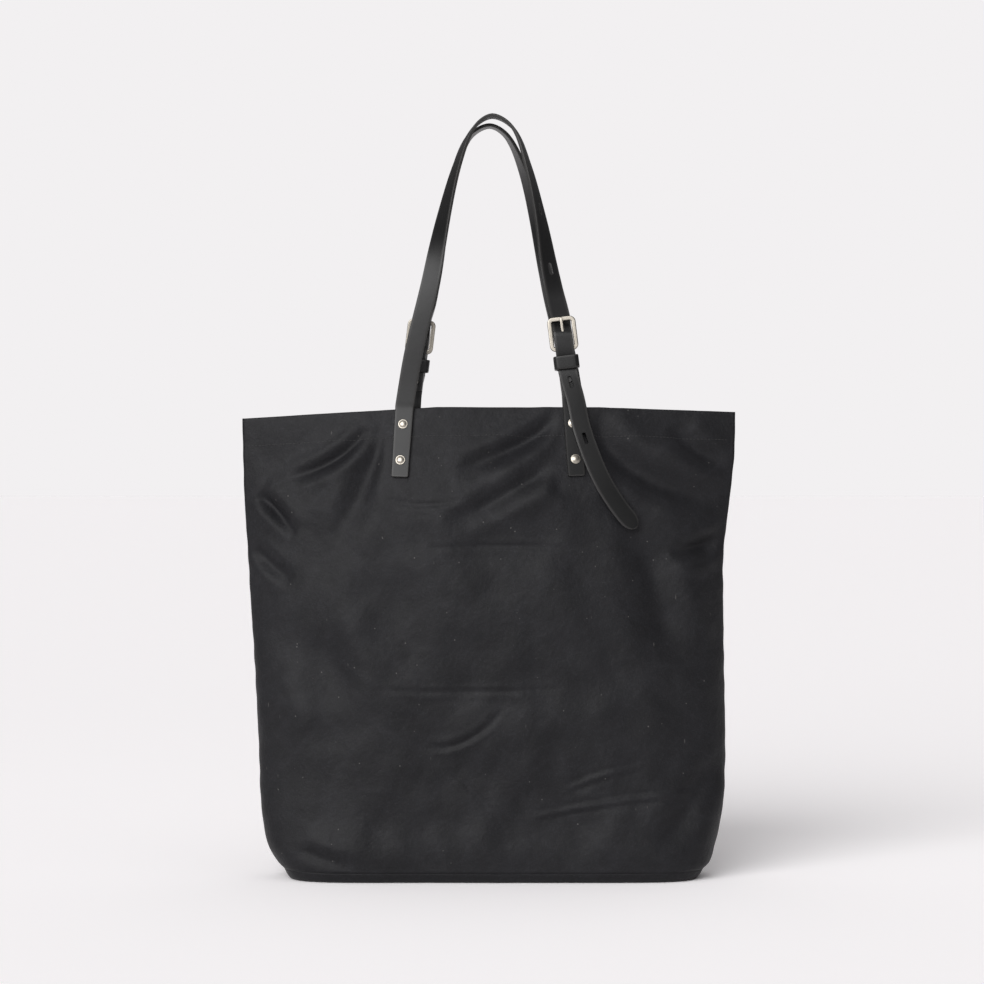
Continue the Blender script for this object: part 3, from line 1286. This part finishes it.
def rivet_places(middle, end_height, leather):
    """Where the caps of one strap end stand, and which way they look."""
    places, aims = [], []
    for height in (end_height + RIVETS_UP[0], end_height + RIVETS_UP[1]):
        x = middle(height)
        along_x, along_z = wall_slopes(x, height)
        normal = Vector((-along_x, -1, -along_z)).normalized()
        on_wall = front_point(x, outside(x, height), height) / MM
        places.append((on_wall + normal * (GAP + leather + 0.05)) * MM)
        aims.append(normal)
    return places, aims


def hem_line(grid, outward, lift):
    """Stitch centres and directions along the hem's row of the wall, evenly spaced."""
    row = grid[HEM_ROW] + outward[HEM_ROW] * lift
    run = np.concatenate([[0], np.cumsum(np.linalg.norm(np.diff(row, axis=0), axis=1))])
    even = np.arange(0.006, run[-1] - 0.006, STITCH_PITCH)
    line = np.stack([np.interp(even, run, row[:, n]) for n in range(3)], axis=1)
    aims = np.gradient(line, axis=0)
    return line, aims / np.linalg.norm(aims, axis=1, keepdims=True)


walls = {"front": (front_grid, front_out), "back": (back_grid, back_out)}
for side in SIDES:
    places, aims = rivet_places(strap_x, STRAP_END, STRAP)
    more, more_aims = rivet_places(chape_x, CHAPE_END, CHAPE)
    repeated(side + "_rivets", places + more, aims + more_aims, CAP, NICKEL, 0.015, 4,
             [side + "_rivet_caps"], side == "back")
    grid, outward = walls[side]
    outer, outer_aims = hem_line(grid, outward, OFF_CLOTH)
    inner, inner_aims = hem_line(grid, outward, -(2 * TURN_IN + OFF_CLOTH))
    both, both_aims = np.concatenate([outer, inner]), np.concatenate([outer_aims, inner_aims])
    repeated(side + "_hem_stitches", both, both_aims, STITCH, THREAD, 0.08, 7, turned=side == "back")
print("caps and stitches made with", len(REPEAT.nodes), "nodes")

# %% [markdown]
# ## Buckles and keepers
# The buckle is a cast and tumbled frame: flat bars with well rounded edges. Its lower bar is
# the heel bar, which the chape and the prong's ring go round. The prong is a flat bar, a
# little narrower towards its tip, bent down on to the top bar. The keeper is a band of the
# same leather round strap and chape.

# %% Metalwork and keepers
FRAME_PITCH = 22.2
RING_RADIUS = 2.35
KEEPER_WIDE = 12.5
KEEPER_DOWN = 13.25


def rounded_rectangle(width, height, corner, straight=6, arc=7):
    """Points round a rectangle with round corners: place and outward direction."""
    points = []
    half_x, half_y = width / 2 - corner, height / 2 - corner
    centres = [(half_x, half_y), (-half_x, half_y), (-half_x, -half_y), (half_x, -half_y)]
    for turn, (x, y) in enumerate(centres):
        for k in range(arc + 1):
            angle = math.pi / 2 * (turn + k / arc)
            out = (math.cos(angle), math.sin(angle))
            points.append(((x + corner * out[0], y + corner * out[1]), out))
        (start_x, start_y), out = points[-1]
        next_x, next_y = centres[(turn + 1) % 4]
        end_x, end_y = next_x + corner * out[0], next_y + corner * out[1]
        for k in range(1, straight):
            share = k / straight
            place = (start_x + (end_x - start_x) * share, start_y + (end_y - start_y) * share)
            points.append((place, out))
    return points


def round_band(name, path, section, to_world):
    """A closed band: a section of (out, along, mark) points carried round a path."""
    rings, uvs, marks = [], [], []
    run = 0.0
    for k, ((x, y), (nx, ny)) in enumerate(path):
        if k:
            run += math.dist(path[k - 1][0], (x, y))
        ring = []
        for out, along, mark in section:
            ring.append(to_world(x + nx * out, y + ny * out, along) * MM)
            uvs.append((run * MM, (out + along) * MM))
            marks.append(mark)
        rings.append(ring)
    return tube(name, rings, uvs, marks, closed=True)


def bar_section(half_wide, half_thick, corner, arc=4):
    """A rectangle with round corners as (out, along, mark) points."""
    section = []
    for (x, y), _ in rounded_rectangle(2 * half_wide, 2 * half_thick, corner, 4, arc):
        on_corner = half_wide - abs(x) < corner and half_thick - abs(y) < corner
        section.append((x, y, float(on_corner)))
    return section


def make_frame(side):
    """The frame, swept round its middle line."""
    path = rounded_rectangle(FRAME_PITCH, BAR_PITCH, 3.3)
    section = bar_section(2.0, 1.5, 0.8, 6)
    mesh = round_band(side + "_frame", path, section,
                      lambda x, y, out: at_buckle(y + BAR_PITCH / 2, out, x))
    return finished(side + "_frame", mesh, NICKEL, side + "_buckle", [side + "_buckle_frame"],
                    turned=side == "back")


def make_prong(side):
    """Ring and tongue in one piece: the ring goes round the heel bar."""
    way = [(-0.5, 2.5), (0.8, 2.75), (2.4, 2.9), (6.0, 2.85), (12.0, 2.8), (18.0, 2.85),
           (23.0, 3.0), (26.0, 3.05), (27.8, 2.95), (29.2, 2.6)]
    rows = with_length([(*at_buckle(up, out), 0.0, math.tan(LEAN)) for up, out in way])
    sizes = [(0, 1.5, 0.8), (4, 1.5, 0.9), (20, 1.35, 0.85), (27, 1.25, 0.8), (rows[-1][0], 1.0, 0.55)]
    tongue = strip_of(side + "_tongue", rows, sizes)
    path = [((RING_RADIUS * math.cos(a), RING_RADIUS * math.sin(a)), (math.cos(a), math.sin(a)))
            for a in np.linspace(0, 2 * math.pi, 36, endpoint=False)]
    ring = round_band(side + "_ring", path, bar_section(0.5, 1.6, 0.35, 3),
                      lambda y, out, x: at_buckle(y, out, x))
    made = bmesh.new()
    made.from_mesh(tongue)
    made.from_mesh(ring)
    made.to_mesh(tongue)
    made.free()
    return finished(side + "_tongue", tongue, NICKEL, side + "_prong", [side + "_buckle_prong"],
                    turned=side == "back")


def strip_of(name, rows, sizes):
    """A bar along a way with its half width and half thickness given at distances along it."""
    rings, uvs, marks = [], [], []
    places = [0.0, 0.12, 0.35] + list(np.arange(0.8, rows[-1][0] - 0.8, 0.8))
    places += [rows[-1][0] - d for d in (0.6, 0.3, 0.1, 0.0)]
    for at in places:
        centre, across, face = frame_on(rows, at)
        half, thick = smooth(sizes, at)
        near = min(at, rows[-1][0] - at)
        shrink = math.sqrt(max(1 - (1 - min(near / 0.6, 1)) ** 2, 0.12))
        ring = []
        corner = min(half, thick) * 0.62 * shrink
        for u, v, mark in bar_section(half * shrink, thick * shrink, corner, 5):
            ring.append((centre + across * u + face * v) * MM)
            uvs.append((u * MM, at * MM))
            marks.append(mark)
        rings.append(ring)
    return tube(name, rings, uvs, marks)


def make_keeper(side):
    """The leather band round strap and chape."""
    low_face = -LAYER - CHAPE / 2 - 1.1
    high_face = TAIL_ON_CHAPE + STRAP / 2 + 1.6
    path = rounded_rectangle(STRAP_WIDTH + 2.2 + 2.4, high_face - low_face + 2.4, 2.6)
    middle = (low_face + high_face) / 2
    section = [(v, u, mark) for u, v, mark in cross_section(KEEPER_WIDE / 2, 1.2)]
    mesh = round_band(side + "_keeper_band", path, section,
                      lambda x, out, up: at_buckle(up - KEEPER_DOWN, out + middle, x))
    return finished(side + "_keeper_band", mesh, LEATHER, side + "_keeper_loop", [side + "_keeper"],
                    turned=side == "back")


for side in SIDES:
    make_frame(side)
    make_prong(side)
    make_keeper(side)
    for node in ("chape_rivet_cap", "chape_rivet_post", "rivet_posts"):
        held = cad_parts[side + "_" + node]
        held.data.materials.clear()
        held.data.materials.append(ENAMEL if node == "chape_rivet_cap" else NICKEL)
print("frame pitch", FRAME_PITCH, "by", round(BAR_PITCH, 1), "mm")

# %% [markdown]
# ## Inside the bag
# The side seams are bound with a folded tape, and so is the base seam. A patch pocket hangs
# from the back hem. Behind the lower rivets a square of leather spreads the load of the
# handles. They follow the walls as these have been creased, not the smooth shape.

# %% Bindings, pocket and patches
POCKET_CUT = (0.130, 0.142)
PATCH_HIGH = 30


def tape_along(name, centres, across, thick_way, half, thick, replaced, closed=False):
    """A flat tape along centres, in metres, with its own width and thickness directions."""
    rings, uvs, marks = [], [], []
    run = 0.0
    for k, centre in enumerate(centres):
        if k:
            run += float(np.linalg.norm(centre - centres[k - 1]))
        near = 1.0 if closed else min(k, len(centres) - 1 - k, 1) * 0.3 + 0.7
        ring = []
        for u, v, mark in bar_section(half * near, thick * near, thick * 0.7 * near, 3):
            ring.append(Vector(centre + across[k] * u + thick_way[k] * v))
            uvs.append((u, run))
            marks.append(0.0)
        rings.append(ring)
    mesh = tube(name, rings, uvs, marks, closed)
    return finished(name, mesh, TAPE, "bag", [replaced])


for side, column, sign in (("left", 0, 1), ("right", -1, -1)):
    seam_line = front_grid[4:UP - 1:3, column].copy()
    seam_line[:, 1] = 0
    seam_line[:, 0] += sign * 7.2 * MM
    count = len(seam_line)
    sideways, outwards = np.tile((1.0, 0, 0), (count, 1)), np.tile((0, 1.0, 0), (count, 1))
    tape_along(side + "_seam_tape", seam_line, sideways, outwards,
               5.0 * MM, 0.8 * MM, side + "_side_binding")

seam_ring = np.concatenate([front_grid[0], (back_grid[0] * np.array((-1, -1, 1)))[1:-1]])[::2]
inwards = np.roll(seam_ring, -1, axis=0) - np.roll(seam_ring, 1, axis=0)
inwards = np.stack([-inwards[:, 1], inwards[:, 0], inwards[:, 0] * 0], axis=1)
inwards /= np.linalg.norm(inwards, axis=1, keepdims=True)
ring_centres = seam_ring + inwards * 2.2 * MM + np.array((0, 0, 0.0005))
tape_along("base_seam_tape", ring_centres, np.tile((0, 0, 1.0), (len(seam_ring), 1)), inwards,
           3.0 * MM, 0.8 * MM, "base_binding", closed=True)


def make_pocket():
    """The patch pocket, a sheet hung inside the back wall."""
    rows_down = slice(UP - 67, UP - 12)
    columns = np.where(np.abs(back_grid[UP // 2, :, 0]) < 0.0655)[0]
    area = back_grid[rows_down][:, columns]
    face = back_out[rows_down][:, columns]
    depth = np.linspace(0, 1, area.shape[0])[:, None]
    sideways = np.linspace(-1, 1, area.shape[1])[None, :]
    gap = 2.45 * MM + 1.6 * MM * np.sin(np.pi * np.clip(depth * 1.05, 0, 1)) * (1 - sideways**4)
    sheet = area - face * gap[..., None]
    run_x = np.linspace(-POCKET_CUT[0] / 2, POCKET_CUT[0] / 2, area.shape[1])
    run_z = np.linspace(0, POCKET_CUT[1], area.shape[0])
    mesh = grid_mesh("pocket", sheet, np.stack(np.meshgrid(run_x, run_z), axis=2))
    thick = ("SOLIDIFY", {"thickness": CLOTH, "offset": 0.0})
    return finished("pocket", mesh, LINING, "bag", ["inner_pocket"], [thick], True)


pocket = make_pocket()


def patch_rows(middle, end_height):
    """The way of a load patch, up the inside of the wall behind a lower rivet."""
    points = []
    for k in range(5):
        height = end_height + PATCH_HIGH * k / 4
        x = middle(end_height + RIVETS_UP[0])
        turn = math.degrees(math.atan(wall_slopes(x, height)[0]))
        points.append((x, -(outside(x, height) - 1.85), height, turn, 0.0))
    return with_length(points)


for side in SIDES:
    for label, middle, end_height in (("strap", strap_x, STRAP_END), ("chape", chape_x, CHAPE_END)):
        rows = patch_rows(middle, end_height)
        name = side + "_" + label + "_load_patch"
        mesh = strip(name, rows, 0, rows[-1][0], 1.0, 3.0, corner_start=3.0, corner_end=3.0, width=24.0)
        finished(name, mesh, LEATHER, "bag", [side + "_" + label + "_patch"],
                 turned=side == "back")
print("pocket cut:", POCKET_CUT, "metres")
